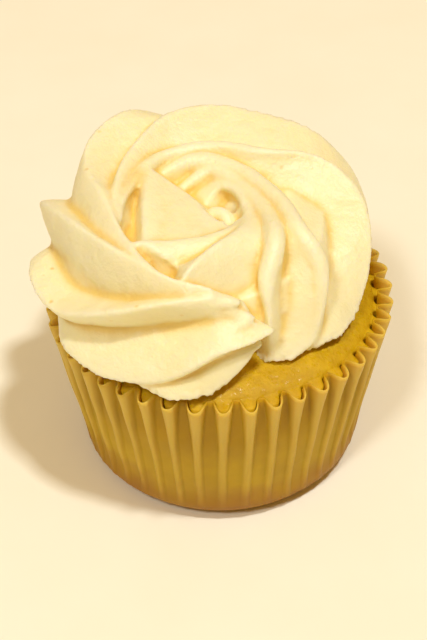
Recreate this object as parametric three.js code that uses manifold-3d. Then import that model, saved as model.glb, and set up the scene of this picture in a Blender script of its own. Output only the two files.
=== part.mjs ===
// A cupcake: a fluted case of greaseproof paper, a domed sponge and a piped swirl of frosting.
// Millimetres, +Z up. The case stands on z = 0 with its axis on the Z axis.
import * as THREE from "three";
import { mergeVertices } from "three/addons/utils/BufferGeometryUtils.js";
import Module from "manifold-3d";

const wasm = await Module();
wasm.setup();

const GAP = 0.3; // clearance kept between neighbouring pieces
const WELD = 0.001; // points nearer than this are one

// Paper case
const RIM_RADIUS = 35; // to the outside of the flutes at the top edge
const BASE_RADIUS = 28.4; // to the outside of the flutes just above the rounded corner
const CASE_HEIGHT = 37.3;
const CORNER_HEIGHT = 3.6; // where the wall turns into the flat bottom
const FOOT_RADIUS = 24.8; // flat part of the bottom
const HALFWAY_CORNER = [27.1, 1]; // radius and height of the bend between foot and wall
const PAPER = 0.5;
const FLUTES = 43;
const FLUTE_DEPTH_RIM = 3;
const FLUTE_DEPTH_LOW = 1.1; // where the flute has become a narrow rib
const FLUTE_DEPTH_FOOT = 0.5; // where the rib runs out at the rounded corner
const FLUTE_HALF_RIM = 0.34; // half a flute's width as a share of the way to the next one
const FLUTE_HALF_LOW = 0.2; // the same for the rib
const FLUTE_TAPER = 13; // length below the rim on which it narrows and flattens
const FLUTE_PARTS = [-1, -0.65, 0, 0.65, 1]; // points across a flute, from edge to edge
const FLUTE_ROUNDING = 0.75;
const FRONT_FLUTE = -Math.PI / 2 + 0.011; // where the foremost flute points

// Sponge
const CAKE_EDGE_HEIGHT = 34.5;
const CAKE_TOP_HEIGHT = 40.5;
const CAKE_SHOULDER = 1.5; // depth of the rounded edge
const CAKE_INSET = 1.2; // how far its flat bottom stays inside the foot of the case
const CAKE_DOME_STEPS = 8;
const CAKE_SEGMENTS = 60;

// Frosting
const SWIRL_CENTRE = [-2.5, 1];
const ROOT_HEIGHT = 45; // every sheet grows from lines at this height inside the coil
const STATION_SPACING = 4.1; // between the points of a crest line
const FEWEST_STATIONS = 8;
const FOOT_PART = 0.4; // share of a ridge's length on which its groove deepens
const FLANK_BULGE = 0.45; // 0 gives straight flanks, more gives rounder ridges
const CREST_OVERLAP = 0.3; // how far a sheet runs past its crests into its neighbours
const CREST_DROP = 0.8; // and how far it falls there

// Crest lines of the piping in millimetres, from the middle of the swirl to its torn end.
// Each starts where the ridge comes up from the sponge or from under the next coil.
// groove: where the groove towards the next crest lies, as a share of the way between them.
// depth: how deep it is, as a share of that way. foot: the same where the ridges start.
// root: radius of the line inside the coil that the ridge grows from.
const CRESTS = [
  { name: "eye", groove: 0.5, depth: 0, foot: 0, root: 3,
    line: [[-13, 14, 51], [-11, 14, 53], [-6.5, 10.5, 53], [-2, 6, 52.5], [1, 1, 52.5],
      [3, -5, 53.5]] },
  { name: "curl", groove: 0.9, depth: 0.1, foot: 0.1, root: 5,
    line: [[-16.5, 12, 53], [-14.2, 11.4, 59], [-9.5, 8, 58.3], [-5, 3.5, 57.6], [-1.5, -2, 57.6],
      [2, -7.5, 58.5], [4, -10, 57.5]] },
  { name: "inner", groove: 0.7, depth: 0.42, foot: 0.42, root: 8,
    line: [[-18.5, -11, 54], [-15.5, -13.2, 60], [-9.5, -12.7, 59.6], [-3, -11, 59.2],
      [2.5, -8, 59.2], [4.2, -3, 57.8], [4, 3, 55.5]] },
  { name: "heart", groove: 0.85, depth: 0.32, foot: 0.15, root: 10,
    line: [[-9, -25, 54], [-6, -21.5, 59.5], [-1, -15.5, 60.4], [4.3, -9.5, 60], [5.6, -1.5, 58.4],
      [3.5, 6.5, 57.8], [0.5, 8.3, 57.2], [-3.5, 4.8, 53]] },
  { name: "front", groove: 0.45, depth: 0.42, foot: 0.1, root: 14,
    line: [[8.8, -22.4, 37.5], [9.3, -22.7, 48], [9.4, -18.7, 55.5], [10.9, -12.5, 60],
      [9.4, -3, 59.4], [5, 7.5, 58.3], [-1, 12.8, 58.4], [-8, 9, 55]] },
  { name: "front_right", groove: 0.5, depth: 0.42, foot: 0.12, root: 15,
    line: [[6.8, -22, 37], [9.5, -24.2, 39.3], [13.5, -23.8, 39.6], [17.3, -21, 41.2],
      [20, -17, 48.5], [19.7, -12.8, 55.2], [15.7, -8.3, 59.4], [11.5, 1.5, 59.8], [4.5, 11.5, 59],
      [-3, 15.2, 59.3], [-9.5, 13.4, 58], [-14, 8.5, 55]] },
  { name: "right", groove: 0.2, depth: 0.3, foot: 0.15, root: 17,
    line: [[14, -18.5, 37], [19, -20.2, 39.5], [23.7, -17, 39.6], [28, -8.5, 41], [30.3, 1, 48.5],
      [28, 11, 53.8], [20, 16, 58], [9, 15.5, 60.3], [-2, 18.3, 60], [-12, 14.5, 59.7],
      [-18, 2, 59.4], [-18.3, -5, 59]] },
  { name: "back", groove: 0.22, depth: 0.32, foot: 0.3, root: 17,
    line: [[29.5, 4.5, 37.2], [31, 13, 43], [28, 21, 50], [20, 26, 57], [10, 29, 59.5],
      [-1, 30.3, 60.8], [-9.5, 27.5, 61], [-15, 20, 60.5], [-19, 9.5, 60.2], [-19.6, 0, 59.8],
      [-18.6, -6, 59.2]] },
  { name: "back_left", groove: 0.7, depth: 0.35, foot: 0.35, root: 17,
    line: [[6, 31, 39], [-4, 34, 46], [-12, 33, 56], [-19, 28.5, 61], [-25, 21, 60.5],
      [-26, 11.5, 59.6], [-22.4, 2.5, 60.3], [-18, -9, 60.2], [-13.6, -17.8, 60], [-10, -21.8, 59]] },
  { name: "left", groove: 0.65, depth: 0.36, foot: 0.3, root: 17,
    line: [[-24, 23, 39], [-31, 19, 42], [-35.5, 13, 49.5], [-35, 8, 53.5], [-31.9, 1.7, 56.7],
      [-25, -8.5, 59.6], [-17.5, -16, 60], [-8.3, -22.3, 59.5], [1.5, -24.5, 57.8]] },
  { name: "front_left", groove: 0.42, depth: 0.45, foot: 0.35, root: 17,
    line: [[-32, 6, 39], [-36, 2, 44], [-37, -5, 48], [-35.7, -12, 48.7], [-30.5, -20.3, 49.5],
      [-21, -25.3, 53.6], [-10.7, -26.5, 56.6], [0, -25.5, 57], [5, -24.5, 56]] },
  { name: "lip", groove: 0.35, depth: 0.35, foot: 0.3, root: 18,
    line: [[-31, -12, 42], [-29.5, -22, 41.5], [-22, -28.7, 40.3], [-11, -32.5, 43],
      [-0.7, -32, 48.4], [5, -29.5, 49.4], [9.5, -26.5, 49.6]] },
  { name: "under_lip", groove: 0.5, depth: 0.1, foot: 0.1, root: 18,
    line: [[-18, -28, 40], [-9.2, -33.8, 39.2], [-1, -31.8, 39.4], [4.4, -29, 43], [7, -26, 45]] },
  { name: "hem", groove: 0.5, depth: 0, foot: 0, root: 18,
    line: [[-16, -22, 38], [-8, -27, 37], [0, -25, 37], [4, -22, 37.5], [4, -18, 38]] },
];

// The solid body of the swirl below its ridges: radius and height about a centre on the fuller side.
const CORE_CENTRE = [-5, 3.5];
const CORE_PROFILE = [
  [0, 39], [25, 39], [28, 43], [28, 47.5], [25.5, 52], [20, 54], [14, 54], [7, 52], [0, 51],
];
const CORE_SEGMENTS = 36;
// What the swirl rests on, as radius and height: the case's rim outside, the sponge's dome inside.
const SEAT_PROFILE = [[0, 0], [36.5, 0], [36.5, 37.6], [31, 37.6], [26, 38.6], [18, 40], [0, 40.9]];
const SMALLEST_DETAIL = 0.1; // kept on the joined swirl
const WELD_PASSES = 3;

function toManifold(geometry) {
  const bare = geometry.clone();
  bare.deleteAttribute("normal");
  bare.deleteAttribute("uv");
  const merged = mergeVertices(bare, WELD);
  const vertProperties = new Float32Array(merged.attributes.position.array);
  const triVerts = new Uint32Array(merged.index.array);
  return new wasm.Manifold(new wasm.Mesh({ numProp: 3, vertProperties, triVerts }));
}

function toGeometry(solid) {
  const made = solid.getMesh();
  const geometry = new THREE.BufferGeometry();
  const positions = new Float32Array(made.vertProperties);
  geometry.setAttribute("position", new THREE.BufferAttribute(positions, 3));
  geometry.setIndex(new THREE.BufferAttribute(new Uint32Array(made.triVerts), 1));
  const flat = geometry.toNonIndexed();
  flat.computeVertexNormals();
  return flat;
}

// A closed solid of revolution from [radius, height] points that start and end on the axis.
function revolve(profile, segments) {
  const points = profile.map(([radius, height]) => new THREE.Vector2(radius, height));
  const lathe = new THREE.LatheGeometry(points, segments);
  lathe.rotateX(Math.PI / 2);
  return lathe;
}

// Rings of points joined into a closed skin; every ring is a list of as many Vector3.
function skinOfRings(rings) {
  const positions = [];
  const around = rings[0].length;
  const same = (a, b) => a.distanceTo(b) < WELD;
  const face = (a, b, c) => {
    if (same(a, b) || same(b, c) || same(c, a)) return;
    positions.push(...a.toArray(), ...b.toArray(), ...c.toArray());
  };
  for (let r = 0; r + 1 < rings.length; r += 1) {
    for (let i = 0; i < around; i += 1) {
      const j = (i + 1) % around;
      face(rings[r][i], rings[r][j], rings[r + 1][j]);
      face(rings[r][i], rings[r + 1][j], rings[r + 1][i]);
    }
  }
  for (const [ring, isFirst] of [[rings[0], true], [rings[rings.length - 1], false]]) {
    const middle = ring.reduce((sum, p) => sum.add(p), new THREE.Vector3()).divideScalar(around);
    for (let i = 0; i < around; i += 1) {
      const j = (i + 1) % around;
      if (isFirst) face(middle, ring[j], ring[i]);
      else face(middle, ring[i], ring[j]);
    }
  }
  const geometry = new THREE.BufferGeometry();
  geometry.setAttribute("position", new THREE.Float32BufferAttribute(positions, 3));
  return mergeVertices(geometry, WELD);
}

function outerWall(height) {
  return BASE_RADIUS + ((RIM_RADIUS - BASE_RADIUS) * height) / CASE_HEIGHT;
}

// 0 at the rim and 1 where a flute has become a narrow rib.
function fluteTaper(height) {
  return Math.min((CASE_HEIGHT - height) / FLUTE_TAPER, 1) ** FLUTE_ROUNDING;
}

function fluteDepth(height) {
  const up = Math.min((height - CORNER_HEIGHT) / (CASE_HEIGHT - FLUTE_TAPER - CORNER_HEIGHT), 1);
  const rib = FLUTE_DEPTH_FOOT + (FLUTE_DEPTH_LOW - FLUTE_DEPTH_FOOT) * up;
  return FLUTE_DEPTH_RIM + (rib - FLUTE_DEPTH_RIM) * fluteTaper(height);
}

// Half a flute's width at a height, as a share of the way to the next flute.
function fluteHalf(height) {
  return FLUTE_HALF_RIM + (FLUTE_HALF_LOW - FLUTE_HALF_RIM) * fluteTaper(height);
}

// One ring of the case. The flutes are round outwards, and the paper between them is flat.
function caseRing(radius, height, depth) {
  const ring = [];
  for (let flute = 0; flute < FLUTES; flute += 1) {
    for (const part of FLUTE_PARTS) {
      const angle = FRONT_FLUTE + ((flute + part * fluteHalf(height)) * 2 * Math.PI) / FLUTES;
      const wave = (1 - part * part) ** FLUTE_ROUNDING;
      const reach = radius - depth * (1 - wave);
      ring.push(new THREE.Vector3(reach * Math.cos(angle), reach * Math.sin(angle), height));
    }
  }
  return ring;
}

function paperCase() {
  const taperEnd = CASE_HEIGHT - FLUTE_TAPER;
  const wallHeights = [CORNER_HEIGHT, taperEnd, taperEnd + FLUTE_TAPER / 2, CASE_HEIGHT];
  const rings = [caseRing(FOOT_RADIUS, 0, 0), caseRing(...HALFWAY_CORNER, 0)];
  for (const height of wallHeights) {
    rings.push(caseRing(outerWall(height), height, fluteDepth(height)));
  }
  for (const height of wallHeights.reverse()) {
    rings.push(caseRing(outerWall(height) - PAPER, height, fluteDepth(height)));
  }
  rings.push(caseRing(FOOT_RADIUS, PAPER, 0));
  return skinOfRings(rings);
}

// The sponge fills the case up to the folds and domes above it.
function cakeSolid() {
  const wall = (height) => outerWall(height) - fluteDepth(height) - PAPER - GAP;
  const edge = wall(CASE_HEIGHT);
  const floor = PAPER + GAP;
  const profile = [[0, floor], [FOOT_RADIUS - CAKE_INSET, floor]];
  profile.push([wall(CORNER_HEIGHT) - GAP, CORNER_HEIGHT]);
  profile.push([wall(CASE_HEIGHT - FLUTE_TAPER), CASE_HEIGHT - FLUTE_TAPER]);
  profile.push([edge, CAKE_EDGE_HEIGHT - CAKE_SHOULDER]);
  for (let s = 0; s < CAKE_DOME_STEPS; s += 1) {
    const turn = (Math.PI / 2) * (s / CAKE_DOME_STEPS);
    const rise = (CAKE_TOP_HEIGHT - CAKE_EDGE_HEIGHT) * Math.sin(turn);
    profile.push([(edge - CAKE_SHOULDER / 2) * Math.cos(turn), CAKE_EDGE_HEIGHT + rise]);
  }
  profile.push([0, CAKE_TOP_HEIGHT]);
  return toManifold(revolve(profile, CAKE_SEGMENTS));
}

// Evenly spaced points of a crest line and the directions in which it runs there.
function stationsOf(crest) {
  const points = crest.line.map((p) => new THREE.Vector3(...p));
  const curve = new THREE.CatmullRomCurve3(points, false, "centripetal");
  const count = Math.max(FEWEST_STATIONS, Math.round(curve.getLength() / STATION_SPACING));
  const places = curve.getSpacedPoints(count - 1);
  return places.map((place, s) => ({ place, along: curve.getTangentAt(s / (count - 1)) }));
}

// Goes along two lines at once, never back, on the way that keeps facing stations nearest.
// Gives pairs of stations.
function facingPairs(first, second) {
  const emptyRow = () => new Array(second.length + 1).fill(Infinity);
  const total = Array.from({ length: first.length + 1 }, emptyRow);
  total[0][0] = 0;
  for (let i = 0; i < first.length; i += 1) {
    for (let j = 0; j < second.length; j += 1) {
      const before = Math.min(total[i][j], total[i][j + 1], total[i + 1][j]);
      total[i + 1][j + 1] = before + first[i].place.distanceTo(second[j].place);
    }
  }
  const path = [[first.length, second.length]];
  while (path[0][0] > 1 || path[0][1] > 1) {
    const [i, j] = path[0];
    const steps = [[i - 1, j - 1], [i - 1, j], [i, j - 1]];
    const cost = ([row, column]) => total[row][column];
    path.unshift(steps.reduce((best, step) => (cost(step) < cost(best) ? step : best)));
  }
  return path.map(([i, j]) => [first[i - 1], second[j - 1]]);
}

const STATIONS = CRESTS.map(stationsOf);

// The point inside the coil that a ridge grows from below this point of its crest.
function rootOf(point, radius) {
  const x = point.x - SWIRL_CENTRE[0];
  const y = point.y - SWIRL_CENTRE[1];
  const scale = Math.min(1, radius / Math.hypot(x, y));
  return new THREE.Vector3(SWIRL_CENTRE[0] + x * scale, SWIRL_CENTRE[1] + y * scale, ROOT_HEIGHT);
}

// The outline of a sheet across its two crests, in order round it: root, crest, groove, crest, root.
function sheetSection(crest, next, a, b, along, depth) {
  const rootA = rootOf(a, crest.root);
  const rootB = rootOf(b, next.root);
  const inward = rootA.clone().add(rootB).sub(a).sub(b);
  inward.addScaledVector(along, -inward.dot(along)).normalize();
  const width = a.distanceTo(b);
  const sideways = b.clone().sub(a).normalize();
  const moved = (point, across, deep) =>
    point.clone().addScaledVector(sideways, across).addScaledVector(inward, deep);
  const surface = (t) => {
    const part = t < crest.groove ? t / crest.groove : (1 - t) / (1 - crest.groove);
    const sag = depth * part * (1 - FLANK_BULGE * (1 - part));
    return moved(a, t * width, sag * width);
  };
  const bend = crest.groove > 0.5 ? crest.groove / 2 : (1 + crest.groove) / 2;
  const places = [0, crest.groove, bend, 1].sort((p, q) => p - q);
  return [
    moved(rootA, -CREST_OVERLAP, 0),
    moved(a, -CREST_OVERLAP, CREST_DROP),
    ...places.map(surface),
    moved(b, CREST_OVERLAP, CREST_DROP),
    moved(rootB, CREST_OVERLAP, 0),
  ];
}

// The solid between a crest and the next one, down to their roots.
function sheetSolid(index) {
  const crest = CRESTS[index];
  const next = CRESTS[index + 1];
  const pairs = facingPairs(STATIONS[index], STATIONS[index + 1]);
  const rings = pairs.map(([a, b], s) => {
    const along = a.along.clone().add(b.along).normalize();
    const deepened = Math.min(s / ((pairs.length - 1) * FOOT_PART), 1);
    const depth = crest.foot + (crest.depth - crest.foot) * deepened;
    return sheetSection(crest, next, a.place, b.place, along, depth);
  });
  return toManifold(skinOfRings(rings));
}

// Drops loose crumbs and closed hollows, which come apart as bodies of their own.
function largestBody(solid) {
  const bodies = solid.decompose();
  return bodies.reduce((best, body) => (body.volume() > best.volume() ? body : best));
}

function frostingSolid() {
  const core = revolve(CORE_PROFILE, CORE_SEGMENTS);
  core.translate(CORE_CENTRE[0], CORE_CENTRE[1], 0);
  let solid = toManifold(core);
  for (let index = 0; index + 1 < CRESTS.length; index += 1) {
    solid = solid.add(sheetSolid(index));
  }
  solid = solid.subtract(toManifold(revolve(SEAT_PROFILE, CAKE_SEGMENTS)));
  let body = largestBody(solid.simplify(SMALLEST_DETAIL));
  for (let pass = 0; pass < WELD_PASSES; pass += 1) {
    body = largestBody(toManifold(toGeometry(body)));
  }
  return body;
}

function piece(name, geometry, color, roughness) {
  const material = new THREE.MeshStandardMaterial({ color, roughness, metalness: 0 });
  const mesh = new THREE.Mesh(geometry, material);
  mesh.name = name;
  return mesh;
}

const cupcake = new THREE.Group();
cupcake.name = "cupcake";
cupcake.add(piece("paper_case", paperCase(), "#b9a04a", 0.7));
cupcake.add(piece("cake", toGeometry(cakeSolid()), "#c9a227", 0.8));
cupcake.add(piece("frosting", toGeometry(frostingSolid()), "#f7ebb8", 0.5));

export default cupcake;
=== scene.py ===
# %% [markdown]
# # A frosted cupcake in its paper case
# The frame holds three plain CAD pieces: `paper_case`, `cake` and `frosting`.
# Each of them gets a finer piece here, with the same outline and its own procedural material.
# Blender counts in metres. The named sizes below are in millimetres and are multiplied by `MM`.

# %% Load the frame
import math

import bpy
import numpy as np
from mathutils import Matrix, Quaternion, Vector, noise


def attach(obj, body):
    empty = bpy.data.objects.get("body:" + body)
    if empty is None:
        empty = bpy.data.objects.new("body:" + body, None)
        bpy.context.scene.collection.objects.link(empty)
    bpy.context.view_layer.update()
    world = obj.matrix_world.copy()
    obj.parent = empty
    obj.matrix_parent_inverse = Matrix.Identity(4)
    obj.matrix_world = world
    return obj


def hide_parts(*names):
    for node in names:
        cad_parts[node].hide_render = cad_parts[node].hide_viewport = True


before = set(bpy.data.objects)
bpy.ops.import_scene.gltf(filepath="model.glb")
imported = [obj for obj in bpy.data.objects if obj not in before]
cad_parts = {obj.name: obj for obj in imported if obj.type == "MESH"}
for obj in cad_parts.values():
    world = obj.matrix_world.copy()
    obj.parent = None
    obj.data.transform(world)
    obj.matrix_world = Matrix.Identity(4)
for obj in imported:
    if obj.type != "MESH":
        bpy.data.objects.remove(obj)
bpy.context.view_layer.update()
MM = 0.001

# %% [markdown]
# ## Small helpers
# `only` selects one piece, so that an operator works on it and on nothing else.
# `mesh_piece` turns points in millimetres and faces into an object that stands at the origin.
# `finish_piece` smooths a piece, hangs it on the root and hides the CAD piece that it stands for.

# %% Helpers for pieces


def only(piece):
    """Selects this piece alone and makes it active."""
    bpy.ops.object.select_all(action="DESELECT")
    piece.select_set(True)
    bpy.context.view_layer.objects.active = piece


def mesh_piece(name, points, faces):
    """A new object from points in millimetres."""
    mesh = bpy.data.meshes.new(name)
    mesh.from_pydata((np.asarray(points) * MM).tolist(), [], faces)
    piece = bpy.data.objects.new(name, mesh)
    bpy.context.scene.collection.objects.link(piece)
    return piece


def apply_modifier(piece, kind, **settings):
    """Adds a modifier and applies it at once."""
    only(piece)
    modifier = piece.modifiers.new(kind.lower(), kind)
    for setting, value in settings.items():
        setattr(modifier, setting, value)
    bpy.ops.object.modifier_apply(modifier=modifier.name)


def finish_piece(piece, node):
    """Lets the piece stand for a CAD node."""
    only(piece)
    bpy.ops.object.shade_smooth()
    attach(piece, "root")
    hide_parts(node)
    print(piece.name, "has", len(piece.data.polygons), "faces and stands for", node)


print("helpers for pieces are ready")

# %% [markdown]
# Uneven food is made by moving many points at once. These helpers hand all points of a piece to numpy
# in millimetres and put them back. `store` keeps a number for each point, which a material can read later.

# %% Helpers for points


def points_of(piece):
    """The piece's points in millimetres."""
    flat = np.empty(len(piece.data.vertices) * 3)
    piece.data.vertices.foreach_get("co", flat)
    return flat.reshape(-1, 3) / MM


def normals_of(piece):
    """The piece's outward directions at its points."""
    flat = np.empty(len(piece.data.vertices) * 3)
    piece.data.vertices.foreach_get("normal", flat)
    return flat.reshape(-1, 3)


def move_points(piece, points):
    """Puts the piece's points at these places, in millimetres."""
    piece.data.vertices.foreach_set("co", (points * MM).ravel())
    piece.data.update()


def store(piece, name, values):
    """Keeps one number for each point, for the material to read."""
    layer = piece.data.attributes.new(name, "FLOAT", "POINT")
    layer.data.foreach_set("value", np.asarray(values, float))


print("helpers for points are ready")

# %% [markdown]
# Nothing on a cupcake changes abruptly and nothing is quite even. `smooth_step` gives soft changes,
# and `rough_noise` gives random numbers that are the same in every run.

# %% Helpers for soft changes


def smooth_step(low, high, values):
    """0 below low, 1 above high and a soft change between them."""
    part = np.clip((values - low) / (high - low), 0, 1)
    return part * part * (3 - 2 * part)


def rough_noise(points, size, seed=0.0):
    """Soft random numbers from -1 to 1 that change over about size millimetres."""
    shift = Vector((seed, seed * 2, seed * 3))
    return np.array([noise.noise(Vector(p) / size + shift) for p in points])


print("helpers for soft changes are ready")

# %% [markdown]
# ## The paper case
# The real case is a round sheet of greaseproof paper that was pressed over a fluted mould.
# Copies of one modelled flute around the axis would be too even, and the flutes change with the height:
# at the rim a flute is a wide round channel, further down a narrow rib.
# So one function describes the wave of the 43 flutes, and every point of a plain cup is moved by it.
# The radii and heights are those of the CAD piece.

# %% Sizes of the case
RIM_RADIUS = 35.0
BASE_RADIUS = 28.4
CASE_HEIGHT = 37.3
CORNER_HEIGHT = 3.6
FOOT_RADIUS = 24.8
PAPER = 0.3
FLUTES = 43
POINTS_PER_FLUTE = 18
FLUTE_DEPTH_RIM = 3.0
FLUTE_DEPTH_LOW = 1.1
FLUTE_DEPTH_FOOT = 0.5
FLUTE_HALF_RIM = 0.39
FLUTE_HALF_LOW = 0.2
FLUTE_ROUNDING = 0.75
FLUTE_BREADTH = 2.4
FLUTE_TAPER = 13.0
FRONT_FLUTE = -math.pi / 2 + 0.011
# How far a flute strays from its even place, as a share of the space between two flutes.
SLOW_SWAY = 0.08
QUICK_SWAY = 0.06


def outer_wall(height):
    """Radius of the flutes' crests."""
    return BASE_RADIUS + (RIM_RADIUS - BASE_RADIUS) * height / CASE_HEIGHT


def flute_taper(height):
    """0 at the rim and 1 where a flute has become a narrow rib."""
    return np.clip((CASE_HEIGHT - height) / FLUTE_TAPER, 0, 1) ** FLUTE_ROUNDING


def flute_depth(height):
    """How far the paper between the flutes lies inside their crests."""
    up = np.clip((height - CORNER_HEIGHT) / (CASE_HEIGHT - FLUTE_TAPER - CORNER_HEIGHT), 0, 1)
    rib = FLUTE_DEPTH_FOOT + (FLUTE_DEPTH_LOW - FLUTE_DEPTH_FOOT) * up
    return FLUTE_DEPTH_RIM + (rib - FLUTE_DEPTH_RIM) * flute_taper(height)


def flute_wave(angle, height):
    """1 on a flute's crest and 0 beside it."""
    sway = SLOW_SWAY * np.sin(3 * angle + 1) + QUICK_SWAY * np.sin(7 * angle + height / 14)
    phase = (angle - FRONT_FLUTE) * FLUTES / (2 * math.pi) + sway
    phase = np.abs(phase - np.round(phase))
    half = FLUTE_HALF_RIM + (FLUTE_HALF_LOW - FLUTE_HALF_RIM) * flute_taper(height)
    part = np.clip(phase / half, 0, 1)
    return (1 - part ** FLUTE_BREADTH) ** FLUTE_ROUNDING


print("one flute is", round(2 * math.pi * RIM_RADIUS / FLUTES, 2), "mm wide at the rim")

# %% [markdown]
# Without its flutes the case is a plain cup with a flat foot and a rounded corner.
# It could be a profile turned about the axis. Here it starts as a flat circle, and edit mode extrudes
# the circle's edge ring by ring up the wall, because every ring then has the right number of points.

# %% Build the case
FOOT_INSET = 6.0
WALL_RINGS = 30
CORNER_PROFILE = [(26.2, 0.5), (27.3, 1.4), (28.0, 2.4)]
around = FLUTES * POINTS_PER_FLUTE
bpy.ops.mesh.primitive_circle_add(vertices=around, radius=FOOT_RADIUS * MM, fill_type="NGON")
case = bpy.context.active_object
case.name = "case_paper"
only(case)
wall_heights = np.linspace(CORNER_HEIGHT, CASE_HEIGHT, WALL_RINGS)
levels = CORNER_PROFILE + [(outer_wall(h), h) for h in wall_heights]
bpy.ops.object.mode_set(mode="EDIT")
bpy.ops.mesh.select_all(action="SELECT")
bpy.ops.mesh.inset(thickness=FOOT_INSET * MM)
bpy.ops.mesh.select_all(action="DESELECT")
bpy.ops.object.mode_set(mode="OBJECT")
radii = np.linalg.norm(points_of(case)[:, :2], axis=1)
case.data.vertices.foreach_set("select", radii > FOOT_RADIUS - 0.1)
bpy.ops.object.mode_set(mode="EDIT")
bpy.context.tool_settings.mesh_select_mode = (True, False, False)
radius, height = FOOT_RADIUS, 0.0
for next_radius, next_height in levels:
    bpy.ops.mesh.extrude_edges_move(TRANSFORM_OT_translate={"value": (0, 0, (next_height - height) * MM)})
    grow = next_radius / radius
    bpy.ops.transform.resize(value=(grow, grow, 1), center_override=(0, 0, 0))
    radius, height = next_radius, next_height
bpy.ops.mesh.select_all(action="SELECT")
bpy.ops.mesh.normals_make_consistent(inside=False)
bpy.ops.object.mode_set(mode="OBJECT")
print("case wall:", len(case.data.vertices), "points")

# %% [markdown]
# The folds of the real paper are rounded, a little dented, and worn at the rim.
# A displacement modifier could fold the wall too, but it would not give the material a mask.
# The same flute function is used for the wall and for the colour, so both stay together.
# `crest` is 1 on a flute's crest, and the material makes the paper lighter there.

# %% Fold the flutes
FLUTES_START = 1.5
FLUTES_FULL = 9
DENTS = 0.25
RIM_ZONE = 6
CREST_DIP = 0.6
RIM_WEAR = 0.3
points = points_of(case)
radii = np.linalg.norm(points[:, :2], axis=1)
angles = np.arctan2(points[:, 1], points[:, 0])
heights = points[:, 2].copy()
wave = flute_wave(angles, heights)
start = smooth_step(FLUTES_START, FLUTES_FULL, heights)
paper_noise = rough_noise(points, 9.0, 3.1)
inset = start * flute_depth(heights) * (1 - wave) + start * DENTS * (1 + paper_noise)
reach = np.where(heights > 0, radii - inset, radii)
points[:, 0] = reach * np.cos(angles)
points[:, 1] = reach * np.sin(angles)
near_rim = smooth_step(CASE_HEIGHT - RIM_ZONE, CASE_HEIGHT, heights)
rim = np.column_stack([RIM_RADIUS * np.cos(angles), RIM_RADIUS * np.sin(angles), 0 * angles])
rim_noise = rough_noise(rim, 5.0, 8.0)
points[:, 2] -= near_rim * (CREST_DIP * wave ** 2 + RIM_WEAR * (1 + rim_noise))
move_points(case, points)
store(case, "crest", wave * start)
apply_modifier(case, "SOLIDIFY", thickness=PAPER * MM, offset=-1)
finish_piece(case, "paper_case")

# %% [markdown]
# ## The sponge
# Under the frosting lies a moist yellow sponge. It has risen to a dome and fills the folds of the paper.
# It could be a cylinder with a sculpted top. Here its rings come from a formula instead,
# because its edge has to follow the same flutes as the paper.

# %% Sizes of the sponge
CAKE_EDGE_HEIGHT = 34.5
CAKE_TOP_HEIGHT = 40.5
CAKE_SEGMENTS = 430
BOTTOM_RADIUS = 20
BOTTOM_HEIGHT = 1.2
SIDE_START = 4
SIDE_RINGS = 14
DOME_RINGS = 96
BULGE_RINGS = 8
RISE_AT_FRONT = 1.4
FULLER_SIDE = math.radians(-95)
BULGE_INTO_FLUTES = 0.85
GAP = 0.65
SHOULDER = 0.1


def sponge_edge(angle, height, bulge=BULGE_INTO_FLUTES):
    """Radius of the sponge where it meets the paper."""
    wave = flute_wave(angle, height)
    return outer_wall(height) - flute_depth(height) * (1 - bulge * wave) - PAPER - GAP


def edge_height(angle):
    """The sponge rose a little more at the front, where it reaches the rim."""
    return CAKE_EDGE_HEIGHT + RISE_AT_FRONT * np.cos(angle - FULLER_SIDE)


print("sponge edge:", CAKE_EDGE_HEIGHT - RISE_AT_FRONT, "to", CAKE_EDGE_HEIGHT + RISE_AT_FRONT, "mm high")

# %% [markdown]
# The side and the dome are rings of points, stacked one above the other and joined by faces.
# The bulges of the edge fade out over the first rings of the dome.

# %% Stack the rings of the sponge


def ring_of_points(angles, radius, height):
    """Points around the axis. Radius and height may change with the angle."""
    return np.column_stack([radius * np.cos(angles), radius * np.sin(angles), 0 * angles + height])


def tube_faces(rings, around, capped=True):
    """Faces that join rings of points one after another, with a cap on both ends."""
    faces = []
    for ring in range(rings - 1):
        low, high = ring * around, (ring + 1) * around
        for a in range(around):
            b = (a + 1) % around
            faces.append((low + a, low + b, high + b, high + a))
    if capped:
        faces.append(tuple(range(around))[::-1])
        faces.append(tuple((rings - 1) * around + a for a in range(around)))
    return faces


angles = np.linspace(0, 2 * math.pi, CAKE_SEGMENTS, endpoint=False)
rings = [ring_of_points(angles, BOTTOM_RADIUS, BOTTOM_HEIGHT)]
for height in np.linspace(SIDE_START, CAKE_EDGE_HEIGHT - RISE_AT_FRONT - 0.6, SIDE_RINGS):
    rings.append(ring_of_points(angles, sponge_edge(angles, height), height))
rim = edge_height(angles)
for step in range(DOME_RINGS):
    turn = math.pi / 2 * step / DOME_RINGS
    bulge = BULGE_INTO_FLUTES * max(0, 1 - step / BULGE_RINGS)
    edge = (sponge_edge(angles, rim, bulge) - SHOULDER) * math.cos(turn)
    rings.append(ring_of_points(angles, edge, rim + (CAKE_TOP_HEIGHT - rim) * math.sin(turn)))
grid = np.vstack(rings)
sponge = mesh_piece("sponge", grid, tube_faces(len(rings), CAKE_SEGMENTS))
print("sponge:", len(rings), "rings of", CAKE_SEGMENTS, "points")

# %% [markdown]
# A cut or torn sponge shows pores, but the top of a baked one is only finely rough.
# Noise of several sizes gives its uneven dome, its crumbs and its small holes.
# The push is limited, so that the crumb hardly reaches into the paper.

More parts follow.
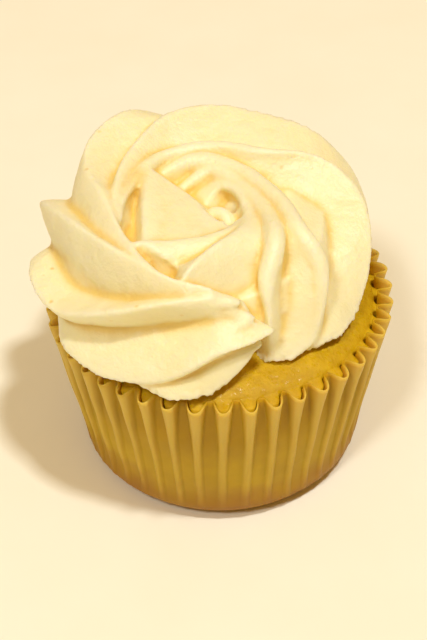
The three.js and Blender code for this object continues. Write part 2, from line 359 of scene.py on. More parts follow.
# %% Roughen the crumb
# Nothing is rough below the first height, and from the second one on everything is.
CRUMB_HEIGHTS = (31, 34)
UNEVEN = 0.3
CRUMB = 0.05
HOLE_DEPTH = 0.15
FURTHEST_PUSH = 0.25
shown = smooth_step(*CRUMB_HEIGHTS, grid[:, 2])
uneven = rough_noise(grid, 9.0) * UNEVEN
crumbs = rough_noise(grid, 1.8, 5.0) * CRUMB + rough_noise(grid, 0.6, 9.0) * CRUMB
holes = -HOLE_DEPTH * smooth_step(0.5, 0.65, rough_noise(grid, 1.0, 12.0))
push = np.minimum(shown * (uneven + crumbs + holes), FURTHEST_PUSH)
move_points(sponge, grid + normals_of(sponge) * push[:, None])
# The holes mask is kept for painted shade in the holes.
store(sponge, "holes", np.clip(-2 * holes, 0, 1))
finish_piece(sponge, "cake")

# %% [markdown]
# ## The crest lines of the piping
# A star nozzle leaves ridges, and their crests run from the sponge up and into the middle of the swirl.
# A star swept along a spiral would be quicker, but the real ridges lean, widen and run over each other.
# So every crest has its own list of points in millimetres, from its foot to its inner end.
# The visible ones were traced, set on a rounded outline of the swirl and corrected.
# The first line lies inside the open middle and the last one under the torn lip, so both sides are closed.

# %% Name the crest lines
CRESTS = {
    "eye": [
        (-13, 14, 51), (-11, 14, 53), (-6.5, 10.5, 53), (-2, 6, 52.5), (1, 1, 52.5), (3, -5, 53.5),
    ],
    "curl": [
        (-16.5, 12, 53), (-14.2, 11.4, 59), (-9.5, 8, 58.3), (-5, 3.5, 57.6), (-1.5, -2, 57.6),
        (2, -7.5, 58.5), (4, -10, 57.5),
    ],
    "inner": [
        (-18.5, -11, 54), (-15.5, -13.2, 60), (-9.5, -12.7, 59.6), (-3, -11, 59.2), (2.5, -8, 59.2),
        (4.2, -3, 57.8), (4, 3, 55.5),
    ],
    "heart": [
        (-9, -25, 54), (-6, -21.5, 59.5), (-1, -15.5, 60.4), (4.3, -9.5, 60), (5.6, -1.5, 58.4),
        (3.5, 6.5, 57.8), (0.5, 8.3, 57.2), (-3.5, 4.8, 53),
    ],
    "front": [
        (8.8, -22.4, 37.5), (9.3, -22.7, 48), (9.4, -18.7, 55.5), (10.9, -12.5, 60),
        (9.4, -3, 59.4), (5, 7.5, 58.3), (-1, 12.8, 58.4), (-8, 9, 55),
    ],
    "front_right": [
        (6.8, -22, 37), (9.5, -24.2, 39.3), (13.5, -23.8, 39.6), (17.3, -21, 41.2), (20, -17, 48.5),
        (19.7, -12.8, 55.2), (15.7, -8.3, 59.4), (11.5, 1.5, 59.8), (4.5, 11.5, 59),
        (-3, 15.2, 59.3), (-9.5, 13.4, 58), (-14, 8.5, 55),
    ],
    "right": [
        (14, -18.5, 37), (19, -20.2, 39.5), (23.7, -17, 39.6), (28, -8.5, 41), (30.3, 1, 48.5),
        (28, 11, 53.8), (20, 16, 58), (9, 15.5, 60.3), (-2, 18.3, 60), (-12, 14.5, 59.7),
        (-18, 2, 59.4), (-18.3, -5, 59),
    ],
    "back": [
        (29.5, 4.5, 37.2), (31, 13, 43), (28, 21, 50), (20, 26, 57), (10, 29, 59.5),
        (-1, 30.3, 60.8), (-9.5, 27.5, 61), (-15, 20, 60.5), (-19, 9.5, 60.2), (-19.6, 0, 59.8),
        (-18.6, -6, 59.2),
    ],
    "back_left": [
        (6, 31, 39), (-4, 34, 46), (-12, 33, 56), (-19, 28.5, 61), (-25, 21, 60.5),
        (-26, 11.5, 59.6), (-22.4, 2.5, 60.3), (-18, -9, 60.2), (-13.6, -17.8, 60),
        (-10, -21.8, 59),
    ],
    "left": [
        (-24, 23, 39), (-31, 19, 42), (-35.5, 13, 49.5), (-35, 8, 53.5), (-31.9, 1.7, 56.7),
        (-25, -8.5, 59.6), (-17.5, -16, 60), (-8.3, -22.3, 59.5), (1.5, -24.5, 57.8),
    ],
    "front_left": [
        (-32, 6, 39), (-36, 2, 44), (-37, -5, 48), (-35.7, -12, 48.7), (-30.5, -20.3, 49.5),
        (-21, -25.3, 53.6), (-10.7, -26.5, 56.6), (0, -25.5, 57), (5, -24.5, 56),
    ],
    "lip": [
        (-31, -12, 42), (-29.5, -22, 41.5), (-22, -28.7, 40.3), (-11, -32.5, 43), (-0.7, -32, 48.4),
        (5, -29.5, 49.4), (9.5, -26.5, 49.6),
    ],
    "under_lip": [
        (-18, -28, 40), (-9.2, -33.8, 39.2), (-1, -31.8, 39.4), (4.4, -29, 43), (7, -26, 45),
    ],
    "hem": [
        (-16, -22, 38), (-8, -27, 37), (0, -25, 37), (4, -22, 37.5), (4, -18, 38),
    ],
}
NAMES = list(CRESTS)
print(len(NAMES), "crest lines")

# %% [markdown]
# Between two ridges the cream sags to a groove. Some grooves lie halfway, others close to one ridge
# that leans over the next, and all are shallow where the ridge starts. So every crest has its own numbers.

# %% Name the grooves and the roots
# Where the groove lies between a crest and the next one, as a share of the way between them,
# and how deep it is: along the ridge, at its foot and at its inner or torn end.
GROOVES = {
    "eye": (0.5, 0, 0, 0), "curl": (0.9, 0.1, 0.1, 0.1), "inner": (0.7, 0.42, 0.3, 0.42),
    "heart": (0.85, 0.36, 0.15, 0.36), "front": (0.45, 0.5, 0.06, 0.45),
    "front_right": (0.45, 0.48, 0.1, 0.42), "right": (0.2, 0.3, 0.15, 0.3),
    "back": (0.22, 0.34, 0.3, 0.34), "back_left": (0.7, 0.35, 0.35, 0.35),
    "left": (0.65, 0.36, 0.3, 0.3), "front_left": (0.42, 0.4, 0.35, 0.1),
    "lip": (0.35, 0.35, 0.3, 0.3), "under_lip": (0.5, 0.1, 0.1, 0.1),
}
# Radius of the line inside the coil that each ridge grows from.
ROOTS = {
    "eye": 3, "curl": 5, "inner": 8, "heart": 10, "front": 14, "front_right": 15, "right": 17, "back": 17,
    "back_left": 17, "left": 17, "front_left": 17, "lip": 18, "under_lip": 18, "hem": 18,
}
SWIRL_CENTRE = np.array([-2.5, 1.0])
ROOT_HEIGHT = 45.0
print(len(GROOVES), "grooves and", len(ROOTS), "roots")

# %% [markdown]
# ## From lines to sheets
# A sheet joins each crest to the next one and sags to a groove between them.
# A lofting tool would join points by their number, but these lines differ in length and turn differently.
# `spline` draws a smooth line through the points. `pair_up` walks along two lines at once,
# never back, and so finds which point faces which.

# %% Helpers for lines
LINE_POINTS = 120
POINTS_PER_GAP = 40
STATIONS = 150
EVENING_PASSES = 12


def spline(points, count):
    """Evenly spaced points on a smooth line through the given ones, without loops at close points."""
    p = np.array(points, float)
    p = np.vstack([2 * p[0] - p[1], p, 2 * p[-1] - p[-2]])
    out = []
    for i in range(len(p) - 3):
        knots = np.concatenate([[0], np.cumsum(np.linalg.norm(np.diff(p[i:i + 4], axis=0), axis=1) ** 0.5)])
        t = np.linspace(knots[1], knots[2], POINTS_PER_GAP, endpoint=False)[:, None]
        layer = [p[i + a] + 0 * t for a in range(4)]
        for gap in (1, 2):
            spans = list(zip(layer, layer[1:], knots, knots[gap:]))
            layer = [
                (one * (end - t) + other * (t - start)) / (end - start)
                for one, other, start, end in spans
            ]
        out.append((layer[0] * (knots[2] - t) + layer[1] * (t - knots[1])) / (knots[2] - knots[1]))
    out = np.vstack(out + [p[-2]])
    gone = np.concatenate([[0], np.cumsum(np.linalg.norm(np.diff(out, axis=0), axis=1))])
    at = np.linspace(0, gone[-1], count)
    return np.stack([np.interp(at, gone, out[:, k]) for k in range(3)], axis=1)


def pair_up(first, second):
    """Goes along both lines together and keeps facing points together."""
    apart = np.linalg.norm(first[:, None] - second[None], axis=2)
    rows, columns = apart.shape
    total = np.full((rows + 1, columns + 1), np.inf)
    total[0, 0] = 0
    for i in range(rows):
        for j in range(columns):
            total[i + 1, j + 1] = apart[i, j] + min(total[i, j + 1], total[i + 1, j], total[i, j])
    path = [(rows, columns)]
    while path[-1] != (1, 1):
        i, j = path[-1]
        path.append(min([(i - 1, j - 1), (i - 1, j), (i, j - 1)], key=lambda step: total[step]))
    path = np.array(path[::-1], float) - 1
    at = np.linspace(0, len(path) - 1, STATIONS)
    steps = np.stack([np.interp(at, np.arange(len(path)), path[:, k]) for k in range(2)], axis=1)
    for _ in range(EVENING_PASSES):
        steps[1:-1] = (steps[:-2] + 2 * steps[1:-1] + steps[2:]) / 4
    a = np.stack([np.interp(steps[:, 0], np.arange(rows), first[:, k]) for k in range(3)], axis=1)
    b = np.stack([np.interp(steps[:, 1], np.arange(columns), second[:, k]) for k in range(3)], axis=1)
    return a, b


def unit(v):
    """The same directions, one long."""
    return v / np.maximum(np.linalg.norm(v, axis=-1, keepdims=True), 1e-9)


def root_of(points, radius):
    """The line inside the coil below each point."""
    flat = points[:, :2] - SWIRL_CENTRE
    scale = np.minimum(1, radius / np.maximum(np.linalg.norm(flat, axis=1), 1e-6))
    return np.column_stack([SWIRL_CENTRE + flat * scale[:, None], np.full(len(points), ROOT_HEIGHT)])


LINES = {name: spline(points, LINE_POINTS) for name, points in CRESTS.items()}
lengths = [np.linalg.norm(np.diff(line, axis=0), axis=1).sum() for line in LINES.values()]
print("longest crest line:", round(max(lengths)), "mm")

# %% [markdown]
# ## The swirl
# The frosting is one thick piece. Its outside is only the sheets, but a skin needs solids to grow around.
# So every sheet goes down to its root inside the coil and becomes a solid with a closed outline.

# %% Solid of a sheet
ACROSS = 26
BULGE = 0.45
FOOT_PART = 0.4
END_PART = 0.3


def sheet_solid(name, after):
    """Points and faces of the solid between two crest lines."""
    a, b = pair_up(LINES[name], LINES[after])
    share, full_depth, foot_depth, end_depth = GROOVES[name]
    gone = np.linspace(0, 1, STATIONS)[:, None]
    depth = foot_depth + (full_depth - foot_depth) * np.clip(gone / FOOT_PART, 0, 1)
    depth = depth + (end_depth - depth) * smooth_step(1 - END_PART, 1, gone)
    along = unit(np.gradient(a, axis=0) + np.gradient(b, axis=0))
    roots_a, roots_b = root_of(a, ROOTS[name]), root_of(b, ROOTS[after])
    inward = (roots_a + roots_b - a - b) / 2
    inward = unit(inward - along * (inward * along).sum(axis=1, keepdims=True))
    width = np.linalg.norm(b - a, axis=1, keepdims=True)
    rings = []
    for t in np.linspace(0, 1, ACROSS):
        part = t / share if t < share else (1 - t) / (1 - share)
        sag = part * (1 - BULGE * (1 - part))
        rings.append(a + (b - a) * t + inward * width * depth * sag)
    grid = np.stack(rings + [roots_b, roots_a], axis=1)
    return grid.reshape(-1, 3), tube_faces(STATIONS, grid.shape[1])


print("a sheet has", STATIONS, "stations of", ACROSS, "points")

# %% [markdown]
# Some real ridges end in a fold and others in a thick round edge. A sheet alone only makes folds.
# A bevel would round all of them alike, so a round roll lies under the crests that need it,
# and it swells slowly from the point where the ridge becomes round.

# %% Round rolls under the crests
# Radius of the roll along a crest.
ROLLS = {"inner": 0.9, "heart": 1.1, "front": 2.0, "front_right": 1.9, "right": 1.4, "back": 0.9}
# The roll starts from this share of the crest's length.
ROLL_STARTS = {"inner": 0.1, "heart": 0.1, "front": 0.1, "front_right": 0.12, "right": 0.42, "back": 0.45}
ROLL_SIDES = 20
ROLL_THINNEST = 0.2
ROLL_SWELLS = 0.25
BLUNT_END = 0.25
END_TAPER = 5


def roll_solid(name, radius):
    """Points and faces of a round roll just under a crest line."""
    line = LINES[name]
    along = unit(np.gradient(line, axis=0))
    inward = root_of(line, ROOTS[name]) - line
    inward = unit(inward - along * (inward * along).sum(axis=1, keepdims=True))
    sideways = np.cross(along, inward)
    gone = np.linspace(0, 1, len(line))[:, None]
    start = ROLL_STARTS[name]
    thick = ROLL_THINNEST + (radius - ROLL_THINNEST) * smooth_step(start, start + ROLL_SWELLS, gone)
    thick = thick * np.minimum(1, BLUNT_END + END_TAPER * np.minimum(gone, 1 - gone))
    rings = []
    for turn in np.linspace(0, 2 * math.pi, ROLL_SIDES, endpoint=False):
        rings.append(line + thick * (inward * (1 - math.cos(turn)) + sideways * math.sin(turn)))
    return np.stack(rings, axis=1).reshape(-1, 3), tube_faces(len(line), ROLL_SIDES)


print("rolls under", len(ROLLS), "crests")

# %% [markdown]
# The cream below the ridges is a plain mound. It is a profile turned about its own axis,
# which stands a little towards the fuller side of the swirl.

# %% Join the solids
CORE_CENTRE = (-5, 3.5)
CORE_PROFILE = [(0, 39), (25, 39), (28, 43), (28, 47.5), (25.5, 52), (20, 54), (14, 54), (7, 52), (0, 51)]
CORE_SEGMENTS = 72


def revolved(profile, centre, segments):
    """Points and faces of a closed solid of revolution."""
    turns = [2 * math.pi * s / segments for s in range(segments)]
    x, y = centre
    points = [(x + r * math.cos(t), y + r * math.sin(t), h) for r, h in profile for t in turns]
    return np.array(points), tube_faces(len(profile), segments, capped=False)


points, faces = revolved(CORE_PROFILE, CORE_CENTRE, CORE_SEGMENTS)
solids = [sheet_solid(name, after) for name, after in zip(NAMES, NAMES[1:])]
solids += [roll_solid(name, radius) for name, radius in ROLLS.items()]
for more, more_faces in solids:
    faces += [tuple(i + len(points) for i in face) for face in more_faces]
    points = np.vstack([points, more])
swirl = mesh_piece("frosting_swirl", points, faces)
print("swirl before remeshing:", len(faces), "faces")

# %% [markdown]
# Real cream flows together where ridges touch. Joining the solids with booleans would leave sharp seams.
# A voxel remesh grows one skin around all of them, and a little smoothing softens its folds.

# %% Make one skin
VOXEL = 0.4
apply_modifier(swirl, "REMESH", mode="VOXEL", voxel_size=VOXEL * MM)
apply_modifier(swirl, "SMOOTH", factor=0.5, iterations=3)
print("skin of the swirl:", len(swirl.data.vertices), "points")

# %% [markdown]
# ## The open middle
# In the middle the innermost coil leaves a hole with a small curl in it.
# It could be sculpted by hand, but forms that are placed by numbers are easier to correct.
# So a stretched sphere is cut out of the skin, and the curl is a bent roll that is joined to it.

# %% Cut the open middle
HOLE_PLACE = (0.9, 0.0, 59.2)
HOLE_TURN = math.radians(-52)
HOLE_SIZE = (5.0, 3.1, 6.2)
bpy.ops.object.select_all(action="DESELECT")
bpy.ops.mesh.primitive_uv_sphere_add(segments=48, ring_count=24, radius=MM, location=(0, 0, 0))
hollow_form = bpy.context.active_object
only(hollow_form)
bpy.ops.object.mode_set(mode="EDIT")
bpy.ops.mesh.select_all(action="SELECT")
bpy.ops.transform.resize(value=HOLE_SIZE, center_override=(0, 0, 0))
bpy.ops.object.mode_set(mode="OBJECT")
turned = points_of(hollow_form)
turned[:, :2] = turned[:, :2] @ np.array([
    [math.cos(HOLE_TURN), math.sin(HOLE_TURN)],
    [-math.sin(HOLE_TURN), math.cos(HOLE_TURN)],
])
move_points(hollow_form, turned + HOLE_PLACE)
apply_modifier(swirl, "BOOLEAN", object=hollow_form, operation="DIFFERENCE", solver="EXACT")
bpy.data.objects.remove(hollow_form)
print("skin with the hole:", len(swirl.data.vertices), "points")

# %% [markdown]
# The curl uses the same roll as the crests. It starts and ends below the floor of the hole,
# so only its back shows. Both are one object from here on, and the next remesh melts them together.

# %% Put the curl into the hole
NUB_LINE = [
    (-3.6, 1.6, 52), (-2.4, 1.4, 55.2), (-0.4, 1.6, 56.4), (1.6, 0.8, 56.4), (2.8, -1.2, 55.4),
    (3.0, -3.2, 52.5),
]
NUB_RADIUS = 1.5
NUB_POINTS = 40
NUB_ROOT = 0.1
LINES["nub"] = spline(NUB_LINE, NUB_POINTS)
ROOTS["nub"] = NUB_ROOT
ROLL_STARTS["nub"] = 0.0
nub_points, nub_faces = roll_solid("nub", NUB_RADIUS)
nub = mesh_piece("nub", nub_points, nub_faces)
bpy.ops.object.select_all(action="DESELECT")
nub.select_set(True)
swirl.select_set(True)
bpy.context.view_layer.objects.active = swirl
bpy.ops.object.join()
print("skin with the curl:", len(swirl.data.vertices), "points")

# %% [markdown]
# ## The torn end
# At the front the nozzle was pulled away, which left a ragged end with one spike.
# A fracture tool would give flat breaks, and cream tears in soft tongues.
# So the points of the end are shifted along the pull by an amount that changes with the height,
# and noise frays its edge. A second remesh evens out the stretched faces.

# %% Tear the end
# At each height: how far the points are shifted to the right, and where the torn end then lies.
TORN_HEIGHTS = [44, 46, 47.3, 48.5, 49.3, 50.1, 50.9, 52, 53.5, 55, 56.5]
TORN_SHIFTS = [0.2, 0.5, -0.9, -0.5, 1.4, -0.6, -1.7, -0.7, -2.7, -1.6, -3.2]
TORN_ENDS = [4, 6.5, 7, 8.5, 9.3, 8, 6.8, 5.5, 5, 4, 2]
# Where the torn end starts and where it is fully torn, to the right, to the front and upwards.
TORN_RIGHT = (-3, 4)
TORN_FRONT = (-22.6, -24.2)
TORN_UP = (42, 45)
FRAYED = 3.5
points = points_of(swirl)
torn = smooth_step(*TORN_RIGHT, points[:, 0]) * smooth_step(*TORN_FRONT, points[:, 1])
torn = torn * smooth_step(*TORN_UP, points[:, 2])
shift = np.interp(points[:, 2], TORN_HEIGHTS, TORN_SHIFTS)
end_face = points * [0.15, 1, 1]
flakes = rough_noise(end_face, 1.5, 7.0) * 0.8 + rough_noise(end_face, 0.8, 3.0) * 0.3
to_end = np.interp(points[:, 2], TORN_HEIGHTS, TORN_ENDS) - points[:, 0]
edge = torn * smooth_step(FRAYED, 0.3, to_end)
points[:, 0] += torn * shift + edge * flakes
points[:, 1] += edge * rough_noise(end_face, 1.4, 11.0) * 0.35
move_points(swirl, points)
apply_modifier(swirl, "REMESH", mode="VOXEL", voxel_size=VOXEL * MM)
apply_modifier(swirl, "SMOOTH", factor=0.5, iterations=2)
print("torn end moved", int((torn > 0.5).sum()), "points")

# %% [markdown]
# ## Ragged edges
# Where the swirl was pressed onto the sponge its edge is finely ragged, and the rest is gently uneven.
# Both are noise along the normals. It comes after the last remesh, which would have smoothed it away.

# %% Fray the low edge
FRAYED_BELOW = 38.6
WHOLE_ABOVE = 41.5
points = points_of(swirl)
low = 1 - smooth_step(FRAYED_BELOW, WHOLE_ABOVE, points[:, 2])
ragged = rough_noise(points, 1.3, 4.0) * 0.45 + rough_noise(points, 0.7, 6.0) * 0.3
waves = rough_noise(points, 6.0, 2.0) * 0.2 + rough_noise(points, 2.2, 5.0) * 0.06
move_points(swirl, points + normals_of(swirl) * (low * ragged + waves)[:, None])
print("frayed", int((low > 0.5).sum()), "points")

# %% [markdown]
# ## Where the cream is hollow
# In the grooves light passes from cream to cream and turns golden, and on the ridges it stays pale.
# Ambient occlusion in the material would be worked out again in every render and stay behind on export.
# So `hollowness` compares every point with the mean of its surroundings, and the result is stored as masks
# for a painted golden shade in the grooves and a painted highlight on the ridges.

# %% Mark grooves and ridges
FINE_PASSES = 12
BROAD_PASSES = 90


def hollowness(piece, passes):
    """How far each point lies inside the mean of its surroundings, in millimetres."""
    start = points_of(piece)
    edges = np.empty(len(piece.data.edges) * 2, int)
    piece.data.edges.foreach_get("vertices", edges)
    one, other = edges.reshape(-1, 2).T
    count = np.bincount(np.concatenate([one, other]), minlength=len(start))
    mean = start
    for _ in range(passes):
        total = [
            np.bincount(one, mean[other, k], len(start)) + np.bincount(other, mean[one, k], len(start))
            for k in range(3)
        ]
        mean = 0.5 * mean + 0.5 * np.stack(total, axis=1) / count[:, None]
    return ((mean - start) * normals_of(piece)).sum(axis=1)


fine = hollowness(swirl, FINE_PASSES)
broad = hollowness(swirl, BROAD_PASSES)
print("deepest groove:", round(float(broad.max()), 2), "mm below its surroundings")

# %% [markdown]
# One crevice beside the middle is too narrow for the mask, so its painted shade is marked along a line of its
# own.

# %% Mark the crevice and finish the swirl
CREVICE_LINE = [(-15.4, 9), (-16, 6.5), (-16.6, 3)]
CREVICE_WIDTH = 3.0
CREVICE_HEIGHTS = (50, 53)
CREVICE_SHARE = 0.6
# How many millimetres count as fully hollow or fully raised, and how much each mask adds.
FINE_DEPTH = 0.1
FINE_SHARE = 0.4
BROAD_DEPTH = 0.9
BROAD_SHARE = 0.5
RIDGE_HEIGHT = 0.7


def near_line(points, line, reach):
    """1 on a line seen from above and 0 further away than reach."""
    line = np.array(line, float)
    nearest = np.full(len(points), np.inf)
    for start, stop in zip(line, line[1:]):
        way = stop - start
        gone = np.clip(((points[:, :2] - start) @ way) / (way @ way), 0, 1)
        nearest = np.minimum(nearest, np.linalg.norm(points[:, :2] - start - gone[:, None] * way, axis=1))
    return 1 - smooth_step(0, reach, nearest)


points = points_of(swirl)
crevice = near_line(points, CREVICE_LINE, CREVICE_WIDTH) * smooth_step(*CREVICE_HEIGHTS, points[:, 2])
# The groove mask is for painted golden shade in the grooves and the crevice.
hollow = np.clip(fine / FINE_DEPTH, 0, 1) * FINE_SHARE + np.clip(broad / BROAD_DEPTH, 0, 1) * BROAD_SHARE
store(swirl, "groove", np.maximum(hollow, CREVICE_SHARE * crevice))
# The ridge mask is for a painted highlight on the crests.
store(swirl, "ridge", np.clip(-broad / RIDGE_HEIGHT, 0, 1))
finish_piece(swirl, "frosting")

# %% [markdown]
# ## Materials
# All colours and bumps come from nodes. `shade` sets up a Principled shader,
# `add` puts in a node, and `ramp` turns numbers into colours.

# %% Helpers for materials


def colour(red, green, blue):
    """A screen colour of 0 to 255 as the linear numbers that Blender uses."""
    parts = [c / 255 for c in (red, green, blue)]
    linear = [c / 12.92 if c <= 0.04045 else ((c + 0.055) / 1.055) ** 2.4 for c in parts]
    return (*linear, 1)


def shade(name):
    """A new material, its node tree and its Principled shader."""
    material = bpy.data.materials.new(name)
    material.use_nodes = True
    return material, material.node_tree, material.node_tree.nodes["Principled BSDF"]


def add(tree, kind, inputs=None, **settings):
    """A node with its settings; an input may be a number or another node's output."""
    node = tree.nodes.new(kind)
    for setting, value in settings.items():
        setattr(node, setting, value)
    for socket, value in (inputs or {}).items():
        if isinstance(value, bpy.types.NodeSocket):
            tree.links.new(value, node.inputs[socket])
        else:
            node.inputs[socket].default_value = value
    return node


def ramp(tree, factor, *stops):
    """Colours at places from 0 to 1."""
    node = add(tree, "ShaderNodeValToRGB", {"Fac": factor})
    elements = node.color_ramp.elements
    while len(elements) < len(stops):
        elements.new(0.5)
    for element, (place, shown) in zip(elements, stops):
        element.position = place
        element.color = shown
    return node.outputs["Color"]


def noise_at(tree, scale, detail=3.0, roughness=0.55):
    """Noise that is fixed to the piece; scale counts lumps in a metre."""
    place = add(tree, "ShaderNodeTexCoord").outputs["Object"]
    inputs = {"Vector": place, "Scale": scale, "Detail": detail, "Roughness": roughness}
    return add(tree, "ShaderNodeTexNoise", inputs).outputs["Fac"]


def blend_colours(tree, factor, first, second, blend="MIX"):
    """A mix of two colours."""
    node = add(tree, "ShaderNodeMix", data_type="RGBA", blend_type=blend)
    for socket, value in ((node.inputs[0], factor), (node.inputs[6], first), (node.inputs[7], second)):
        if isinstance(value, bpy.types.NodeSocket):
            tree.links.new(value, socket)
        else:
            socket.default_value = value
    return node.outputs[2]


def bump(tree, height, strength, distance, before=None):
    """A bump, on top of an earlier one if there is one."""
    inputs = {"Height": height, "Strength": strength, "Distance": distance}
    if before is not None:
        inputs["Normal"] = before
    return add(tree, "ShaderNodeBump", inputs).outputs["Normal"]


print("helpers for materials are ready")

# %% [markdown]
# ### Glints
# Moist crumb has tiny smooth faces that sparkle. A node group picks one in seven of many small cells,
# so that the mask can be put into any material with its own scale.

# %% Glints as a node group
glint_group = bpy.data.node_groups.new("glints", "ShaderNodeTree")
glint_group.interface.new_socket("Scale", in_out="INPUT", socket_type="NodeSocketFloat")
glint_group.interface.new_socket("Mask", in_out="OUTPUT", socket_type="NodeSocketFloat")
entry = glint_group.nodes.new("NodeGroupInput")
leave = glint_group.nodes.new("NodeGroupOutput")
place = add(glint_group, "ShaderNodeTexCoord").outputs["Object"]
cells = add(glint_group, "ShaderNodeTexVoronoi", {"Vector": place, "Scale": entry.outputs["Scale"]})
parts = add(glint_group, "ShaderNodeSeparateXYZ", {"Vector": cells.outputs["Color"]})
few = add(glint_group, "ShaderNodeMath", {0: parts.outputs["X"], 1: 0.86}, operation="GREATER_THAN")
glint_group.links.new(few.outputs[0], leave.inputs["Mask"])


def glints(tree, scale):
    """A mask of sparse small cells; scale counts cells in a metre."""
    node = add(tree, "ShaderNodeGroup", node_tree=glint_group)
    node.inputs["Scale"].default_value = scale
    return node.outputs["Mask"]


print("node group:", glint_group.name)

# %% [markdown]
# ### Frosting
# Buttercream is pale and satin. Light goes a little way into it, which softens its shadows.
# A photograph laid over the piece would hold its own light, so everything here is made of nodes.
# The masks paint a golden shade into the grooves and a pale highlight onto the ridges, fine noise gives
# the whipped grain, and sparse dents are the air bubbles, with painted shade in them.

# %% Material of the frosting
cream, tree, shader = shade("buttercream")
tint = noise_at(tree, 60)
base = ramp(tree, tint, (0.3, colour(245, 235, 184)), (0.7, colour(249, 241, 199)))
# Painted golden shade in the grooves and the crevice, from the groove mask.
hollow = add(tree, "ShaderNodeAttribute", attribute_name="groove").outputs["Fac"]
base = blend_colours(tree, hollow, base, colour(238, 204, 90))
# Painted highlight: the ridge mask makes the crests paler.
raised = add(tree, "ShaderNodeAttribute", attribute_name="ridge").outputs["Fac"]
ridge_highlight = add(tree, "ShaderNodeMath", {0: raised, 1: 0.35}, operation="MULTIPLY").outputs[0]
base = blend_colours(tree, ridge_highlight, base, colour(252, 247, 224))
shader.inputs["Roughness"].default_value = 0.42
shader.inputs["Subsurface Weight"].default_value = 0.45
shader.inputs["Subsurface Radius"].default_value = (0.8, 0.7, 0.25)
shader.inputs["Subsurface Scale"].default_value = 0.003
grain = bump(tree, noise_at(tree, 1400, 4), 0.25, 0.0002)
lumps = bump(tree, noise_at(tree, 350, 4), 0.5, 0.0008, grain)
place = add(tree, "ShaderNodeTexCoord").outputs["Object"]
cells = add(tree, "ShaderNodeTexVoronoi", {"Vector": place, "Scale": 260, "Randomness": 1.0})
distance = cells.outputs["Distance"]
near_centre = {"Value": distance, "From Min": 0.04, "From Max": 0.16, "To Min": 1.0, "To Max": 0.0}
pit = add(tree, "ShaderNodeMapRange", near_centre).outputs[0]
some = ramp(tree, noise_at(tree, 160, 2), (0.5, (0, 0, 0, 1)), (0.62, (1, 1, 1, 1)))
pits = add(tree, "ShaderNodeMath", {0: pit, 1: some}, operation="MULTIPLY").outputs[0]
dents = add(tree, "ShaderNodeMath", {0: pits, 1: -1.0}, operation="MULTIPLY").outputs[0]
tree.links.new(bump(tree, dents, 0.3, 0.0003, lumps), shader.inputs["Normal"])
# Painted shade: the dents are coloured a darker gold.
pit_shade = add(tree, "ShaderNodeMath", {0: pits, 1: 0.8}, operation="MULTIPLY").outputs[0]
base = blend_colours(tree, pit_shade, base, colour(234, 202, 118))
tree.links.new(base, shader.inputs["Base Color"])
swirl.data.materials.append(cream)
print("material:", cream.name)

# %% [markdown]
# ### Sponge
# The top of the sponge is moist, deep yellow crumb. Plain noise alone would look like sand,
# so painted shade makes its holes darker than the rest, and its glints are spots of lower roughness.

# %% Material of the sponge
crumb, tree, shader = shade("sponge_crumb")
tone = noise_at(tree, 450, 4)
base = ramp(tree, tone, (0.3, colour(196, 157, 8)), (0.7, colour(215, 177, 20)))
patches = ramp(tree, noise_at(tree, 110, 3), (0.35, (0.92, 0.9, 0.82, 1)), (0.65, (1, 1, 1, 1)))
base = blend_colours(tree, 1.0, base, patches, "MULTIPLY")
# Painted shade darkens the holes.
hole_shade = add(tree, "ShaderNodeAttribute", attribute_name="holes").outputs["Fac"]
base = blend_colours(tree, hole_shade, base, colour(184, 132, 8))
tree.links.new(base, shader.inputs["Base Color"])
wet = glints(tree, 2400)
gloss = add(tree, "ShaderNodeMapRange", {"Value": wet, "To Min": 0.55, "To Max": 0.16}).outputs[0]
tree.links.new(gloss, shader.inputs["Roughness"])
shader.inputs["Specular IOR Level"].default_value = 0.3
shader.inputs["Subsurface Weight"].default_value = 0.25
shader.inputs["Subsurface Radius"].default_value = (1.0, 0.6, 0.15)
shader.inputs["Subsurface Scale"].default_value = 0.002
grain = bump(tree, noise_at(tree, 2600, 4), 0.4, 0.0002)
tree.links.new(bump(tree, noise_at(tree, 900, 5), 0.35, 0.0005, grain), shader.inputs["Normal"])
sponge.data.materials.append(crumb)
print("material:", crumb.name)

# %% [markdown]
# ### Paper
# Greaseproof paper is thin, soaked with butter and browned at the foot by the hot tin.
# Real glass-like transmission would be slow and show the gap to the sponge, so the colours are mixed instead:
# darker between the flutes, where paper and sponge touch, lighter on the crests, and brown below.

# %% Material of the paper
paper, tree, shader = shade("greaseproof_paper")
place = add(tree, "ShaderNodeTexCoord").outputs["Object"]
height = add(tree, "ShaderNodeSeparateXYZ", {"Vector": place}).outputs["Z"]
up = {"Value": height, "From Min": 0.0, "From Max": CASE_HEIGHT * MM, "To Min": 0.0, "To Max": 1.0}
level = add(tree, "ShaderNodeMapRange", up).outputs[0]
base = ramp(
    tree, level, (0.15, colour(198, 158, 24)), (0.42, colour(204, 166, 28)), (0.75, colour(190, 149, 10)),
    (1.0, colour(194, 153, 20)),
)
spots = ramp(tree, noise_at(tree, 90, 4), (0.35, (0.84, 0.82, 0.7, 1)), (0.65, (1, 1, 1, 1)))
base = blend_colours(tree, 1.0, base, spots, "MULTIPLY")
crest_mask = add(tree, "ShaderNodeAttribute", attribute_name="crest").outputs["Fac"]
patch = ramp(tree, level, (0.25, (0.2, 0.2, 0.2, 1)), (0.85, (0.8, 0.8, 0.8, 1)))
light = ramp(tree, crest_mask, (0.15, (0, 0, 0, 1)), (0.8, (1, 1, 1, 1)))
light = blend_colours(tree, 1.0, light, patch, "MULTIPLY")
base = blend_colours(tree, light, base, colour(227, 191, 88))
uneven = add(tree, "ShaderNodeMath", {0: noise_at(tree, 130, 2), 1: 0.012}, operation="MULTIPLY").outputs[0]
raised = add(tree, "ShaderNodeMath", {0: height, 1: uneven}, operation="SUBTRACT").outputs[0]
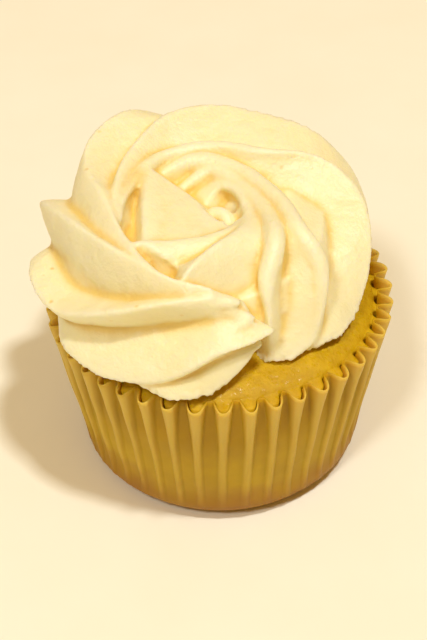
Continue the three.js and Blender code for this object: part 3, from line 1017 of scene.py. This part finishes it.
browned = {"Value": raised, "From Min": -0.004, "From Max": 0.006, "To Min": 1.0, "To Max": 0.0}
toast = add(tree, "ShaderNodeMapRange", browned)
base = blend_colours(tree, toast.outputs[0], base, colour(168, 118, 40))
tree.links.new(base, shader.inputs["Base Color"])
shader.inputs["Roughness"].default_value = 0.5
shader.inputs["Specular IOR Level"].default_value = 0.2
shader.inputs["Subsurface Weight"].default_value = 0.5
shader.inputs["Subsurface Radius"].default_value = (1.0, 0.7, 0.2)
shader.inputs["Subsurface Scale"].default_value = 0.0015
tree.links.new(bump(tree, noise_at(tree, 900, 3), 0.2, 0.0002), shader.inputs["Normal"])
case.data.materials.append(paper)
print("material:", paper.name)

# %% [markdown]
# ## Floor, light and camera
# The floor is plain and pale and reaches far, so that its edge never shows.
# A small soft lamp stands high at the front right and casts the darker shadow.
# A weaker one stands lower at the front left. The room's light is warm, so shadows and grooves turn golden.
# A picture of a real room would light it too, but it would also be mirrored, so the room is only a soft tint.

# %% Set up the studio
bpy.ops.mesh.primitive_plane_add(size=24)
floor = bpy.context.active_object
floor.name = "floor"
pale, tree, shader = shade("pale_floor")
base = ramp(tree, noise_at(tree, 30, 3), (0.3, colour(248, 245, 226)), (0.7, colour(250, 248, 231)))
tree.links.new(base, shader.inputs["Base Color"])
shader.inputs["Roughness"].default_value = 0.7
floor.data.materials.append(pale)


def soft_lamp(name, place, size, power, tint):
    """An area lamp that looks at the cupcake."""
    light = bpy.data.lights.new(name, "AREA")
    light.size = size
    light.energy = power
    light.color = tint
    lamp = bpy.data.objects.new(name, light)
    lamp.location = place
    lamp.rotation_mode = "QUATERNION"
    lamp.rotation_quaternion = (Vector((0, 0, 0.03)) - Vector(place)).to_track_quat("-Z", "Y")
    bpy.context.scene.collection.objects.link(lamp)
    return lamp


WHITE = (1.0, 1.0, 1.0)
soft_lamp("key", (0.558, -0.507, 2.31), size=0.21, power=28.5, tint=WHITE)
soft_lamp("second", (-0.615, -1.224, 2.0), size=0.3, power=17.0, tint=WHITE)
world = bpy.data.worlds.new("room")
bpy.context.scene.world = world
world.use_nodes = True
sky = world.node_tree.nodes["Background"]
sky.inputs["Color"].default_value = (1.0, 0.62, 0.18, 1)
above = add(world.node_tree, "ShaderNodeTexCoord").outputs["Generated"]
above = add(world.node_tree, "ShaderNodeSeparateXYZ", {"Vector": above}).outputs["Z"]
rising = {"Value": above, "From Min": 0.0, "From Max": 1.0, "To Min": 0.03, "To Max": 0.65}
strength = add(world.node_tree, "ShaderNodeMapRange", rising).outputs[0]
world.node_tree.links.new(strength, sky.inputs["Strength"])
bpy.context.scene.view_settings.view_transform = "Standard"
print("lit by", len(bpy.data.lights), "lamps")

# %% [markdown]
# The camera looks down at a steep angle from close by, as in the photograph.
# Its lens and shift put the cupcake at the same place in the picture.

# %% Set up the camera
CAMERA_PLACE = (0, -0.23593, 0.24119)
CAMERA_AIM = (0, 0, 0.025)
CAMERA_LENS = 87.76
CAMERA_TILT = math.radians(-0.92)
camera_data = bpy.data.cameras.new("camera")
camera_data.lens = CAMERA_LENS
camera_data.sensor_width = 36
camera_data.shift_x = -0.0103
camera_data.shift_y = 0.0211
camera = bpy.data.objects.new("camera", camera_data)
bpy.context.scene.collection.objects.link(camera)
camera.location = CAMERA_PLACE
aim = (Vector(CAMERA_AIM) - camera.location).to_track_quat("-Z", "Y")
camera.rotation_mode = "QUATERNION"
camera.rotation_quaternion = aim @ Quaternion((0, 0, 1), CAMERA_TILT)
bpy.context.scene.camera = camera
print("camera at", tuple(camera.location))
